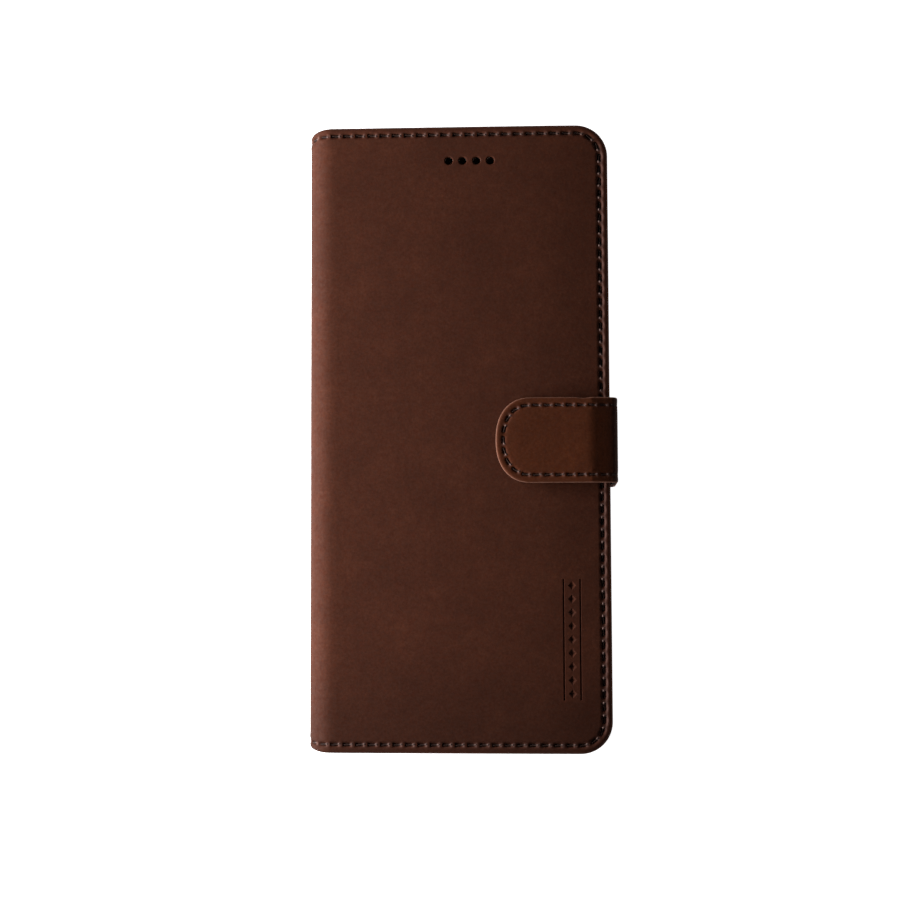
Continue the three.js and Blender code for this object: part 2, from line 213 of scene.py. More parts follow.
def rounded_slab(name, low, high, radius, fillet, steps=8):
    """A plate between two corners with rounded corners in plan and rounded rims."""
    profile = [(fillet * (1 - math.sin(a)), fillet * (1 - math.cos(a))) for a in quarter_turns(4)]
    walls = [(inset, low[2] + rise) for inset, rise in profile]
    walls += [(inset, high[2] - rise) for inset, rise in reversed(profile)]
    return inset_loft(name, low, high, radius, walls, steps)


def lathe_cutter(name, centre, profile):
    """A turned solid about a vertical axis, from a profile of (radius, z)."""
    return ring_loft(name, [circle(radius, 28, z, centre) for radius, z in profile])


def key_slab(name, box, gap, radius, x0, x1, fillet):
    """A slab from x0 to x1 with a rounded outline, `gap` wider all round than a key's box."""
    middle, half = (box[0] + box[1]) / 2, (box[1] - box[0]) / 2
    across, along = half.z + gap, half.y + gap
    slab = rounded_slab(name, (-across, -along, x0), (across, along, x1), radius, fillet)
    turn = Matrix(((0, 0, 1, 0), (0, 1, 0, middle.y), (-1, 0, 0, middle.z), (0, 0, 0, 1)))
    slab.data.transform(turn)
    turn_outward(slab)
    return slab


# ---- leather outlines: tongues in flat coordinates ----
def spaced(start, end, step):
    """Even values from start to end, about step apart."""
    count = max(1, round(abs(end - start) / step))
    return [start + (end - start) * k / count for k in range(count + 1)]


class Tongue:
    """A tongue outline: a free end with two rounded corners, and two sides that run on from it.

    Its stations run down one side, round the end and back along the other side. The coarse ones
    meet the lines of the middle's grid, and `fine` finer steps lie between each two of them.
    """

    def __init__(self, half, corner_s, corner_y, s_lines, y_lines, power=2.0, arc_steps=6, inset=0.0, fine=4):
        self.half, self.corner_s, self.corner_y = half, corner_s, corner_y
        self.s_lines, self.y_lines, self.power, self.inset = s_lines, y_lines, power, inset
        arc = [QUARTER * k / arc_steps for k in range(1, arc_steps)]
        last = len(y_lines) - 1
        coarse = [("side", s, 1, (i, last)) for i, s in reversed(list(enumerate(s_lines)))]
        coarse += [("arc", QUARTER - a, 1, (0, last)) for a in arc]
        coarse += [("end", y, 0, (0, j)) for j, y in reversed(list(enumerate(y_lines)))]
        coarse += [("arc", a, -1, (0, 0)) for a in arc]
        coarse += [("side", s, -1, (i, 0)) for i, s in enumerate(s_lines)]
        self.stations = []
        for here, following in zip(coarse, coarse[1:]):
            self.stations.append(here)
            self.stations += [self.between(here, following, step / fine) for step in range(1, fine)]
        self.stations.append(coarse[-1])
        self.coarse = [k for k, station in enumerate(self.stations) if station[3] is not None]

    @staticmethod
    def between(here, following, share):
        """A fine station between two coarse ones."""
        kinds = {here[0], following[0]}
        if len(kinds) == 1 or "arc" not in kinds:
            first, second, kind = here[1], following[1], here[0]
            sign = here[2] or following[2]
        else:
            kind = "arc"
            sign = here[2] if here[0] == "arc" else following[2]
            corner = {"side": QUARTER, "end": 0.0}
            first = corner.get(here[0], here[1])
            second = corner.get(following[0], following[1])
        return kind, first + (second - first) * share, sign, None

    def point(self, station, depth):
        """The flat point at a station, `depth` in from the outline."""
        depth = depth + self.inset
        kind, value, sign, _ = station
        share = 1 + (self.corner_s / self.corner_y - 1) * (max(depth, 0) / self.corner_y) ** 2
        reach_s = self.corner_s - depth * share
        reach_y = self.corner_y - depth
        if kind == "side":
            return value, sign * (self.half - depth)
        if kind == "end":
            return self.corner_s - reach_s, value
        s = self.corner_s - reach_s * math.cos(value) ** (2 / self.power)
        return s, sign * (self.half - self.corner_y + reach_y * math.sin(value) ** (2 / self.power))

    def line(self, depth):
        """The line `depth` in from the outline: its points and its length up to each."""
        points = np.array([self.point(station, depth) for station in self.stations])
        return points, running_length(points)


class Seam:
    """Evenly spaced stitches along the line a given depth in from a tongue's outline."""

    def __init__(self, outline, depth, pitch, mirrored=False):
        self.depth, self.mirrored = depth, mirrored
        self.line, self.length = outline.line(depth - outline.inset)
        self.end_run = 2 * (outline.half - outline.corner_y * 0.55)
        self.start = pitch * 0.4
        self.count = round((self.length[-1] - 2 * self.start) / pitch)
        self.pitch = (self.length[-1] - 2 * self.start) / self.count

    def is_forward(self, number):
        """Whether a stitch runs on along the line, so that all of them point the same way in space."""
        return (number < self.count // 2) != self.mirrored

    def phase(self, t):
        """How far along its stitch t lies, from 0 where the stitch starts to 1."""
        share = (t - self.start) / self.pitch
        return share % 1 if self.is_forward(share) else 1 - share % 1

    def pit(self, t, depth, width):
        """The hollow that a stitch lies in: 1 at its floor, 0 outside it and between stitches."""
        phase = self.phase(t)
        along = smooth((phase - 0.10) / 0.14) * smooth((0.80 - phase) / 0.12)
        return along * math.exp(-abs((depth - self.depth) / width) ** 2.6)

    def lip(self, t, depth, width):
        """A painted highlight on the leather at the end of a hollow, on the wall that faces the light."""
        near = abs(self.phase(t) - 0.86)
        return 0.8 * smooth(1 - near / 0.11) * bell(depth - self.depth, width)

    def free_edge_highlight(self, t, depth, width):
        """A painted highlight in a wavy line just outside the hollows along the free edge."""
        middle = self.length[-1] / 2
        at_end = smooth((self.end_run / 2 - abs(t - middle)) / self.pitch)
        wave = 0.13 * MM * math.cos(2 * math.pi * (self.phase(t) - 0.42))
        return at_end * bell(depth - self.depth + 0.75 * MM + wave, width)


def clamped(value):
    """A value kept between 0 and 1."""
    return min(1.0, max(0.0, value))


def smooth(value):
    """0 below 0, 1 above 1 and an even curve between."""
    value = clamped(value)
    return value * value * (3 - 2 * value)


def bell(distance, width):
    """1 at no distance, falling away evenly on both sides."""
    return math.exp(-(distance / width) ** 2)


def tongue_body(name, tongue, profile, place, relief=None, seam=None, crease=38,
                rub_width=0.5 * MM, shadow=None, free_edge_highlight=0.0):
    """A closed leather body. profile is (depth, height) from the middle of its outer face, round the
    rim and back under, and place() lays flat points (s, y, height) in space. shadow(s, y) is how much
    painted shade darkens the colour, and free_edge_highlight how strong the painted highlight along the
    free edge is."""
    last = len(profile) - 1
    seam_t = tongue.line(seam.depth - tongue.inset if seam else 0)[1]
    columns, rows = len(tongue.s_lines), len(tongue.y_lines)
    rim = min(range(len(profile)), key=lambda j: profile[j][0])
    fine_end = FINE_DEPTH + 0.1 * MM
    is_fine = [0 < j < last and depth <= fine_end for j, (depth, _) in enumerate(profile)]
    past = [0.0] * len(profile)
    for j in range(rim + 1, len(profile)):
        gap = math.hypot(profile[j][0] - profile[j - 1][0], profile[j][1] - profile[j - 1][1])
        past[j] = past[j - 1] + gap
    flat, uvs, wear, pits, painted_highlights, index = [], [], [], [], [], {}

    def add(key, s, y, height, depth, t, uv):
        if key not in index:
            outer = height > -LEATHER * 0.75 and depth > 0 and key[1] < rim
            lift = relief(s, y, depth, t) if relief and outer else 0
            index[key] = len(flat)
            flat.append((s, y, height + lift))
            uvs.append(uv)
            # Painted light: pit holds painted shade for the stitch hollows and for shadow(); lip holds
            # painted highlights at the lit ends of the hollows and along the free edge.
            shown = seam is not None and outer and depth <= fine_end
            dark = seam.pit(t, depth, 0.54 * MM) if shown else 0
            pits.append(max(dark, shadow(s, y) if shadow else 0))
            painted_highlights.append(seam.lip(t, depth, 0.4 * MM) if shown else 0)
            if shown and free_edge_highlight:
                painted_highlights[-1] = max(painted_highlights[-1], free_edge_highlight * seam.free_edge_highlight(t, depth, 0.22 * MM))
            wear.append(bell(depth, rub_width) if height > -0.9 * MM else 0)
        return index[key]

    def grid(j, i, row):
        s, y = tongue.s_lines[i], tongue.y_lines[row]
        return add(("grid", j, i, row), s, y, profile[j][1], tongue.corner_y, 0, (s, y))

    def vertex(j, k):
        station = tongue.stations[k]
        depth, height = profile[j]
        if j in (0, last):
            return grid(j, *station[3])
        s, y = tongue.point(station, depth)
        uv = tongue.point(station, depth if j <= rim else profile[rim][0] - past[j])
        return add(("ring", j, k), s, y, height, depth, seam_t[k], uv)

    def stretch(j, k0, k1):
        return [vertex(j, k) for k in (range(k0, k1 + 1) if is_fine[j] else (k0, k1))]

    faces = []
    for j in range(last):
        for k0, k1 in zip(tongue.coarse, tongue.coarse[1:]):
            if is_fine[j] and is_fine[j + 1]:
                faces += [[vertex(j, k), vertex(j, k + 1), vertex(j + 1, k + 1), vertex(j + 1, k)]
                          for k in range(k0, k1)]
                continue
            face = list(dict.fromkeys(stretch(j, k0, k1) + stretch(j + 1, k0, k1)[::-1]))
            if len(face) > 2:
                faces.append(face)
    for i in range(columns - 1):
        for row in range(rows - 1):
            faces.append([grid(0, i, row), grid(0, i + 1, row), grid(0, i + 1, row + 1), grid(0, i, row + 1)])
    if rows > 1:
        faces.append([grid(last, 0, row) for row in range(rows)]
                     + [grid(last, 1, rows - 1), grid(last, 1, 0)])
        for i in range(1, columns - 1):
            faces.append([grid(last, i, 0), grid(last, i + 1, 0),
                          grid(last, i + 1, rows - 1), grid(last, i, rows - 1)])
    tail = columns - 1
    faces.append([grid(0, tail, row) for row in range(rows)]
                 + [vertex(j, 0) for j in range(1, last)]
                 + list(dict.fromkeys([grid(last, tail, rows - 1), grid(last, tail, 0)]))
                 + [vertex(j, len(tongue.stations) - 1) for j in range(last - 1, 0, -1)])
    flat = np.array(flat)
    return make_object(name, place(flat[:, 0], flat[:, 1], flat[:, 2]), faces, uvs,
                       {"wear": wear, "pit": pits, "lip": painted_highlights}, crease)


def rim_profile(interior, thickness, hem, radius, under):
    """(depth, height) round a turned edge: outer face, round rim, wall, hem and under face."""
    profile = [(d, 0.0) for d in spaced(interior, FINE_DEPTH, 1.2 * MM)]
    profile += [(d, 0.0) for d in spaced(FINE_DEPTH, radius, 0.22 * MM)[1:]]
    profile += [(radius * (1 - math.sin(a)), -radius * (1 - math.cos(a))) for a in quarter_turns(5)[1:]]
    lower = min(radius, (thickness - radius) * 0.9)
    profile += [(lower * (1 - math.cos(a)), -thickness + lower * (1 - math.sin(a))) for a in quarter_turns(4)]
    profile += [(hem, -thickness), (hem, -under), (interior, -under)]
    return profile


SPINE_ROUND = 1.4 * MM
SPINE_TAPER = 0.55 * MM
SPINE_ROUND_RUN = 14 * MM
DROOP = 0.75 * MM
DROOP_RUN = 20 * MM


def on_front(s, y, height):
    """Lays flat leather on the front cover, whose free edge droops a little."""
    points = on_cover(s, y, height)
    points[:, 2] -= DROOP * np.clip(1 - np.asarray(s, float) / DROOP_RUN, 0, 1) ** 2
    return points


def on_cover(s, y, height):
    """Lays flat leather on a flat cover and round the front half of the spine."""
    s, y, height = (np.asarray(v, float) for v in (s, y, height))
    angle = np.clip((s - FLAT) / BEND, 0, QUARTER)
    down = np.clip(s - FLAT - BEND * QUARTER, 0, None)
    x = EDGE - np.minimum(s, FLAT) - (BEND + height) * np.sin(angle)
    z = TOP - BEND + (BEND + height) * np.cos(angle) - down
    y = y * (1 - SPINE_TAPER / HALF * np.clip(s / FLAT, 0, 1))
    near_end = np.clip((np.abs(y) - HALF + SPINE_ROUND_RUN) / SPINE_ROUND_RUN, 0, 1)
    y = y - np.sign(y) * SPINE_ROUND * (1 - np.cos(angle)) * near_end
    return np.stack([x, y, z], -1)


def on_back(s, y, height):
    """The same for the back cover, which mirrors the front."""
    points = on_cover(s, y, height)
    points[:, 2] = TOP - points[:, 2]
    return points


FLAP_RUN = STRAP_CREASE - STRAP_LOW.x
SLOPE_DROP = STRAP_HIGH.z - (UPPER_BEND.z + STRAP_BEND)
SLOPE_RUN = math.hypot(UPPER_BEND.x - STRAP_CREASE, SLOPE_DROP)
SIDE_START = FLAP_RUN + SLOPE_RUN + STRAP_BEND * QUARTER
SIDE_MIDDLE = (UPPER_BEND.z + LOWER_BEND.z) / 2
STRAP_LENGTH = SIDE_START + UPPER_BEND.z - SIDE_MIDDLE
FLAP_RISE = 0.55 * MM


def on_strap(s, y, height):
    """Lays flat leather on the flap, over the crease and the bend and half way down the side."""
    s, y, height = (np.asarray(v, float) for v in (s, y, height))
    on_flap = np.clip(s, 0, FLAP_RUN)
    on_slope = np.clip(s - FLAP_RUN, 0, SLOPE_RUN) / SLOPE_RUN
    angle = np.clip((s - FLAP_RUN - SLOPE_RUN) / STRAP_BEND, 0, QUARTER)
    down = np.clip(s - SIDE_START, 0, None)
    thin = np.clip((s - FLAP_RUN * 0.93) / (SLOPE_RUN + FLAP_RUN * 0.07), 0, 1)
    scale = 1 + (STRAP_THICK / FLAP_THICK - 1) * thin
    deep = height * scale
    arched = FLAP_RISE * (on_flap / FLAP_RUN) ** 1.6 * (1 - on_slope)
    surface = STRAP_HIGH.z - 0.25 * MM + arched - (SLOPE_DROP - 0.25 * MM) * on_slope
    x_flat = STRAP_LOW.x + on_flap + on_slope * (UPPER_BEND.x - STRAP_CREASE)
    lift = np.clip(-height / FLAP_THICK, 0, 1) * (arched - 0.25 * MM * (1 - on_slope))
    turned = angle > 0
    x = np.where(turned, UPPER_BEND.x + (STRAP_BEND + deep) * np.sin(angle), x_flat)
    z = np.where(turned, UPPER_BEND.z + (STRAP_BEND + deep) * np.cos(angle) - down, surface + deep - lift)
    dent = 0.28 * MM * np.exp(-((s - FLAP_RUN + 2.2 * MM) / (1.6 * MM)) ** 2)
    edge = np.clip((np.abs(y) - STRAP_HALF * 0.8) / (STRAP_HALF * 0.2), 0, 1)
    y = y - np.where(y > 0, dent * edge, 0)
    return np.stack([x, y + STRAP_MIDDLE, z], -1)


# ---- stitching ----
def stitch_row(name, line, length, start, pitch, count, place, thread=0.22 * MM, middle=0.0,
               rise=0.1 * MM, seed=3, forward=None):
    """Single stitches of twisted thread along a flat line. Each comes up at its first needle hole,
    lies at the height `middle` and climbs by `rise` before it dives into the next hole. forward(n)
    says whether stitch n runs on along the line, and if not, it's turned round."""
    def on_line(t):
        return np.array([np.interp(t, length, column) for column in line.T])

    dice = random.Random(seed)
    around, along, slant = 8, 12, 0.12
    flat, uvs, raised, faces = [], [], [], []
    for n in range(count):
        first = start + pitch * (n + 0.10)
        reach = pitch * 0.82
        onward = forward is None or forward(n)
        tilt = slant * dice.uniform(0.6, 1.4)
        level = middle + dice.uniform(-0.03, 0.03) * MM
        base = len(flat)
        for a in range(along + 1):
            share = a / along
            dive = 2.4 * thread * (smooth(1 - share / 0.16) + smooth((share - 0.88) / 0.12))
            height = level + rise * smooth((share - 0.62) / 0.28) - dive
            for b in range(around):
                turn = 2 * math.pi * b / around
                radius = thread * (1 + 0.16 * math.cos(2 * (turn - 2.6 * math.pi * share)))
                across = (share - 0.5) * reach * tilt + radius * math.cos(turn)
                along_line = first + reach * share if onward else first + pitch * 0.8 - reach * share
                flat.append((along_line, across, height + radius * math.sin(turn)))
                uvs.append((reach * share, b * thread))
                # Painted highlight: the climbing end of each raised stitch takes the pale tip colour; flat
                # rows take an even quarter of it.
                raised.append(smooth((share - 0.74) / 0.14) if rise > 0 else 0.25)
        faces += tube_faces(along + 1, around, base)
    t, across, height = np.array(flat).T
    s, y = on_line(t)
    ahead_s, ahead_y = on_line(t + 0.2 * MM) - on_line(t - 0.2 * MM)
    size = np.hypot(ahead_s, ahead_y)
    points = place(s - across * ahead_y / size, y + across * ahead_s / size, height)
    return make_object(name, points, faces, uvs, {"raised": raised}, crease=80)


def seam_row(name, seam, place, **settings):
    """A stitch row in the pits of a seam."""
    return stitch_row(name, seam.line, seam.length, seam.start, seam.pitch, seam.count, place,
                      forward=seam.is_forward, **settings)


# ---- materials ----
class Shader:
    """A small helper that adds and links nodes of one material."""

    def __init__(self, name):
        self.material = bpy.data.materials.new(name)
        self.material.use_nodes = True
        self.tree = self.material.node_tree
        self.tree.nodes.clear()
        self.surface = self.add("ShaderNodeBsdfPrincipled")
        output = self.add("ShaderNodeOutputMaterial")
        self.link(self.surface.outputs[0], output.inputs["Surface"])

    def add(self, kind, **settings):
        node = self.tree.nodes.new(kind)
        for key, value in settings.items():
            if key in node.inputs:
                node.inputs[key].default_value = value
            else:
                setattr(node, key, value)
        return node

    def link(self, source, target):
        self.tree.links.new(source, target)

    def feed(self, socket, value):
        """Links another node's output to a socket, or sets the socket to a plain value."""
        if isinstance(value, bpy.types.NodeSocket):
            self.link(value, socket)
        else:
            socket.default_value = value

    def attribute(self, name):
        """A point attribute of the mesh."""
        return self.add("ShaderNodeAttribute", attribute_name=name).outputs["Fac"]

    def product(self, a, b):
        node = self.add("ShaderNodeMath", operation="MULTIPLY")
        self.link(a, node.inputs[0])
        self.link(b, node.inputs[1])
        return node.outputs[0]

    def finish(self, base, roughness, **constants):
        """Feeds the surface its colour and roughness, and sets its plain values."""
        self.link(base, self.surface.inputs["Base Color"])
        self.feed(self.surface.inputs["Roughness"], roughness)
        for socket, value in constants.items():
            self.surface.inputs[socket.replace("_", " ")].default_value = value

    def place(self, coordinates):
        return self.add("ShaderNodeTexCoord").outputs[coordinates]

    def noise(self, where, scale, detail=3.0, roughness=0.55):
        node = self.add("ShaderNodeTexNoise", Scale=scale, Detail=detail, Roughness=roughness)
        self.link(where, node.inputs["Vector"])
        return node.outputs["Fac"]

    def cells(self, where, scale, feature="F1"):
        node = self.add("ShaderNodeTexVoronoi", Scale=scale)
        node.feature = feature
        self.link(where, node.inputs["Vector"])
        return node.outputs["Distance"]

    def span(self, value, low, high, to_low=0.0, to_high=1.0):
        node = self.add("ShaderNodeMapRange")
        for socket, number in zip(node.inputs[1:5], (low, high, to_low, to_high)):
            socket.default_value = number
        self.link(value, node.inputs[0])
        return node.outputs[0]

    def ramp(self, value, stops):
        node = self.add("ShaderNodeValToRGB")
        self.link(value, node.inputs[0])
        while len(node.color_ramp.elements) < len(stops):
            node.color_ramp.elements.new(0.5)
        for element, (position, colour) in zip(node.color_ramp.elements, stops):
            element.position = position
            element.color = (*colour, 1)
        return node.outputs[0]

    def mix(self, share, a, b):
        node = self.add("ShaderNodeMix", data_type="RGBA")
        self.link(share, node.inputs["Factor"])
        for socket, value in ((node.inputs[6], a), (node.inputs[7], b)):
            self.feed(socket, (*value, 1) if isinstance(value, tuple) else value)
        return node.outputs[2]

    def bump(self, layers):
        """Chains bumps of (height, strength, distance in metres) into the surface's normal."""
        normal = None
        for height, strength, distance in layers:
            node = self.add("ShaderNodeBump", Strength=strength, Distance=distance)
            self.link(height, node.inputs["Height"])
            if normal is not None:
                self.link(normal, node.inputs["Normal"])
            normal = node.outputs["Normal"]
        self.link(normal, self.surface.inputs["Normal"])


def scaled(colour, factor):
    """A colour made brighter or darker."""
    return tuple(c * factor for c in colour)


def leather(name, colour, worn, grain=0.3, coordinates="UV", use_wear_and_painted_light=True, rub=(0.1, 0.8)):
    """Smooth finished leather: cloudy dye, small dark pores, a fine pebble and paler worn rims, with
    painted shade where a piece's pit attribute says so and a painted highlight where its lip attribute
    says so."""
    roughness, gloss = 0.75, 0.10
    shader = Shader(name)
    where = shader.place(coordinates)
    cloud = shader.noise(where, 70, 5, 0.62)
    fleck = shader.noise(where, 520, 4, 0.65)
    base = shader.ramp(cloud, [(0.30, scaled(colour, 1.03)), (0.52, scaled(colour, 1.26)),
                               (0.72, scaled(colour, 1.53))])
    redder = (colour[0] * 1.16, colour[1] * 0.92, colour[2] * 0.86)
    base = shader.mix(shader.span(fleck, 0.45, 0.75, 0, 0.75), base, redder)
    pores = shader.cells(where, 2300)
    base = shader.mix(shader.span(pores, 0.05, 0.28, 0.45, 0), base, scaled(colour, 0.45))
    grit = shader.noise(where, 1500, 2, 0.6)
    base = shader.mix(shader.span(grit, 0.35, 0.65, 0.0, 0.28), base, scaled(colour, 0.42))
    smudge = shader.noise(where, 420, 3, 0.6)
    base = shader.mix(shader.span(smudge, 0.4, 0.68, 0.0, 0.3), base, scaled(colour, 0.6))
    if use_wear_and_painted_light:
        # Painted shade: the pit attribute darkens the colour toward a tenth in the stitch hollows, toward the
        # cover's lower edge, on the spine and at the strap's bend.
        painted_shade_share = shader.span(shader.attribute("pit"), SHADE_START, 0.95, 0, 0.86)
        base = shader.mix(painted_shade_share, base, scaled(colour, 0.1))
        # Painted highlight: the lip attribute paints a pale pinkish colour at the lit end of each stitch
        # hollow and along the free edge.
        base = shader.mix(shader.attribute("lip"), base, (0.24, 0.135, 0.115))
        wear = shader.attribute("wear")
        base = shader.mix(shader.product(wear, shader.span(fleck, 0.3, 0.65, *rub)), base, worn)
    shader.finish(base, shader.span(fleck, 0.3, 0.7, roughness - 0.06, roughness + 0.08))
    polish = shader.noise(where, 1100, 3, 0.8)
    shine = shader.span(polish, 0.32, 0.68, gloss * 0.5, gloss * 1.4)
    if use_wear_and_painted_light:
        shine = shader.product(shine, shader.span(wear, 0, 0.6, 1, 0.15))
    shader.link(shine, shader.surface.inputs["Specular IOR Level"])
    pebble = shader.cells(where, 1500, "SMOOTH_F1")
    wrinkle = shader.noise(where, 900, 6, 0.6)
    shader.bump([(shader.noise(where, 160, 3), 0.25, 0.00012), (pebble, grain, 0.00006),
                 (wrinkle, grain * 1.4, 0.00007)])
    return shader.material


def thread_material(name, colour, tip_highlight_colour):
    """Waxed twisted thread: ply stripes, stray pale fibres, a soft sheen, and a painted highlight in the tip
    colour where the raised attribute says so.
    """
    shader = Shader(name)
    where = shader.place("UV")
    stripe = shader.add("ShaderNodeTexWave", Scale=900, Distortion=1.5)
    stripe.bands_direction = "DIAGONAL"
    shader.link(where, stripe.inputs["Vector"])
    fibre = shader.noise(where, 5200, 4, 0.7)
    ply = stripe.outputs["Fac"]
    base = shader.mix(shader.span(ply, 0.2, 0.8), scaled(colour, 0.62), scaled(colour, 1.15))
    base = shader.mix(shader.span(fibre, 0.5, 0.8, 0, 0.6), base, scaled(colour, 1.7))
    # Painted highlight: the raised attribute mixes in tip_highlight_colour.
    base = shader.mix(shader.attribute("raised"), base, tip_highlight_colour)
    shader.finish(base, shader.span(fibre, 0.3, 0.7, 0.58, 0.76), Sheen_Weight=0.03,
                  Specular_IOR_Level=0.12, Sheen_Roughness=0.4)
    shader.bump([(ply, 0.4, 0.00003), (fibre, 0.3, 0.00003)])
    return shader.material


def moulded(name, colour, roughness, speck=0.12):
    """Moulded rubber or plastic with a fine spark texture and slight shade changes."""
    shader = Shader(name)
    where = shader.place("Object")
    patch = shader.noise(where, 60, 3)
    spark = shader.noise(where, 4200, 2, 0.7)
    base = shader.ramp(patch, [(0.3, scaled(colour, 0.85)), (0.7, scaled(colour, 1.15))])
    base = shader.mix(shader.span(spark, 0.5, 0.75, 0, speck), base, scaled(colour, 2.2))
    shader.finish(base, shader.span(spark, 0.3, 0.7, roughness - 0.05, roughness + 0.08),
                  Specular_IOR_Level=0.4)
    shader.bump([(spark, 0.25, 0.00003)])
    return shader.material


def board_material():
    """Bookbinder's board: pressed fibres and grey flecks."""
    shader = Shader("bookbinders_board")
    where = shader.place("Object")
    fibre = shader.noise(where, 900, 6, 0.75)
    fleck = shader.noise(where, 260, 3)
    base = shader.ramp(fibre, [(0.3, (0.19, 0.17, 0.135)), (0.55, (0.26, 0.235, 0.19)),
                               (0.8, (0.36, 0.33, 0.27))])
    base = shader.mix(shader.span(fleck, 0.62, 0.72, 0, 0.5), base, (0.12, 0.11, 0.1))
    shader.finish(base, shader.span(fleck, 0.3, 0.7, 0.8, 0.95))
    shader.bump([(fibre, 0.4, 0.0001)])
    return shader.material


def steel_material():
    """Nickel-plated sheet with rolling marks."""
    shader = Shader("plated_steel")
    where = shader.place("Object")
    stretched = shader.add("ShaderNodeMapping")
    stretched.inputs["Scale"].default_value = (1, 30, 1)
    shader.link(where, stretched.inputs["Vector"])
    brushed = shader.noise(stretched.outputs[0], 500, 4, 0.6)
    base = shader.ramp(brushed, [(0.3, (0.36, 0.36, 0.37)), (0.7, (0.5, 0.5, 0.52))])
    shader.finish(base, shader.span(brushed, 0.3, 0.7, 0.25, 0.42), Metallic=1.0)
    shader.bump([(brushed, 0.2, 0.00003)])
    return shader.material


COVER_COLOUR = (0.0480, 0.0134, 0.0062)
STRAP_COLOUR = (0.0545, 0.0132, 0.0038)
LINING_COLOUR = (0.046, 0.0185, 0.0110)
cover_leather = leather("cover_leather", COVER_COLOUR, (0.11, 0.054, 0.040), rub=(0.0, 0.5))
strap_leather = leather("strap_leather", STRAP_COLOUR, (0.26, 0.135, 0.098), grain=0.26, rub=(0.45, 0.8))
lining_leather = leather("lining_leather", LINING_COLOUR, (0.10, 0.05, 0.035), grain=0.26)
pocket_leather = leather("pocket_leather", scaled(LINING_COLOUR, 1.12), (0.1, 0.05, 0.035),
                         grain=0.26, coordinates="Object", use_wear_and_painted_light=False)
root_leather = leather("root_leather", STRAP_COLOUR, STRAP_COLOUR, coordinates="Object", use_wear_and_painted_light=False)
# The second colour is the painted highlight on the stitch tips.
thread_brown = thread_material("waxed_thread", (0.026, 0.012, 0.009), (0.20, 0.125, 0.11))
tray_rubber = moulded("tray_rubber", (0.036, 0.017, 0.011), 0.5)
key_rubber = moulded("key_rubber", (0.042, 0.019, 0.012), 0.42)
adhesive_film = moulded("adhesive_film", (0.7, 0.66, 0.58), 0.6, speck=0.05)
magnet_metal = steel_material()
board_grey = board_material()


def paint(mesh, material):
    """Gives a mesh a single material."""
    mesh.materials.clear()
    mesh.materials.append(material)


def finish_piece(obj, material, slot, motion, *nodes):
    """Gives a piece its look and its motion, which is the name of the body it rides on or a function
    that is called on it, which here only bakes its transform, and hides the CAD nodes it stands for. slot is
    not used."""
    paint(obj.data, material)
    if callable(motion):
        motion(obj)
    else:
        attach(obj, motion)
    if nodes:
        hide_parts(*nodes)


# ---- covers ----
GRID_STEP = SEAM_PITCH / 2
COVER_LINES_S = spaced(CORNER, FLAT, GRID_STEP) + spaced(FLAT, SPINE_S, GRID_STEP)[1:]
COVER_LINES_Y = spaced(CORNER - HALF, HALF - CORNER, GRID_STEP)
cover_outline = Tongue(HALF, CORNER, CORNER, COVER_LINES_S, COVER_LINES_Y)
cover_seam = Seam(cover_outline, SEAM_INSET, SEAM_PITCH)
COVER_PROFILE = rim_profile(CORNER, 1.7 * MM, HEM_WIDTH, 0.85 * MM, LEATHER)
SEAM_SAG = 0.10 * MM
SEAM_WIDTH = 0.9 * MM
PIT_DEPTH = 0.52 * MM
PIT_WIDTH = 0.56 * MM


def ripple(s, y):
    """A slow unevenness that hand-laid leather has, from -1 to 1."""
    return (math.sin(s * 95 + 1.3 * math.sin(y * 61)) * math.sin(y * 83 + 0.7)
            + 0.5 * math.sin(s * 210 + y * 47)) / 1.5


def cover_relief(s, y, depth, t):
    """The outer face: drawn in along the seam, hollowed under each stitch, raised a little beside it."""
    sag = SEAM_SAG * bell(depth - SEAM_INSET, SEAM_WIDTH)
    pit = PIT_DEPTH * cover_seam.pit(t, depth, PIT_WIDTH) if depth < 3.4 * MM else 0
    crown = 0.06 * MM * bell(depth - 3.2 * MM, 0.8 * MM)
    inside = clamped((depth - 0.5 * MM) / (2 * MM))
    fall = 0.2 * MM * max(0, 1 - depth / (1.3 * MM)) ** 2
    return crown - sag - pit - fall + 0.035 * MM * ripple(s, y) * inside


def back_relief(s, y, depth, t):
    """The same for the back cover, which lies on the table and so never stands proud."""
    return min(0, cover_relief(s, y, depth, t))


def cover_painted_shade(s, y):
    """Painted shade: how much darker the cover is painted toward its lower edge and on the spine."""
    tail = 0.2 * smooth((-y - 0.66 * HALF) / (0.3 * HALF))
    spine = 0.08 * smooth((s - FLAT - 0.3 * BEND) / (0.5 * BEND))
    return SHADE_START + tail + spine


def front_height(x):
    """The height of the front cover's outer face at x."""
    return TOP - DROOP * max(0, 1 - (EDGE - x) / DROOP_RUN) ** 2


def ear_hole_cutters():
    """Four holes with softened rims through the front cover."""
    low, high = TOP - 4 * MM, TOP + 0.5 * MM
    centre_x, centre_y, pitch = PHONE_X + 0.1 * MM, HALF - 9.7 * MM, 3.72 * MM
    radius, soften = 1.05 * MM, 0.3 * MM
    profile = [(radius, low)]
    profile += [(radius + soften * (1 - math.cos(a)), TOP - soften + soften * math.sin(a))
                for a in quarter_turns(5)]
    profile.append((radius + soften * 1.6, high))
    return [lathe_cutter("ear_cut", (centre_x + (n - 1.5) * pitch, centre_y), profile) for n in range(4)]


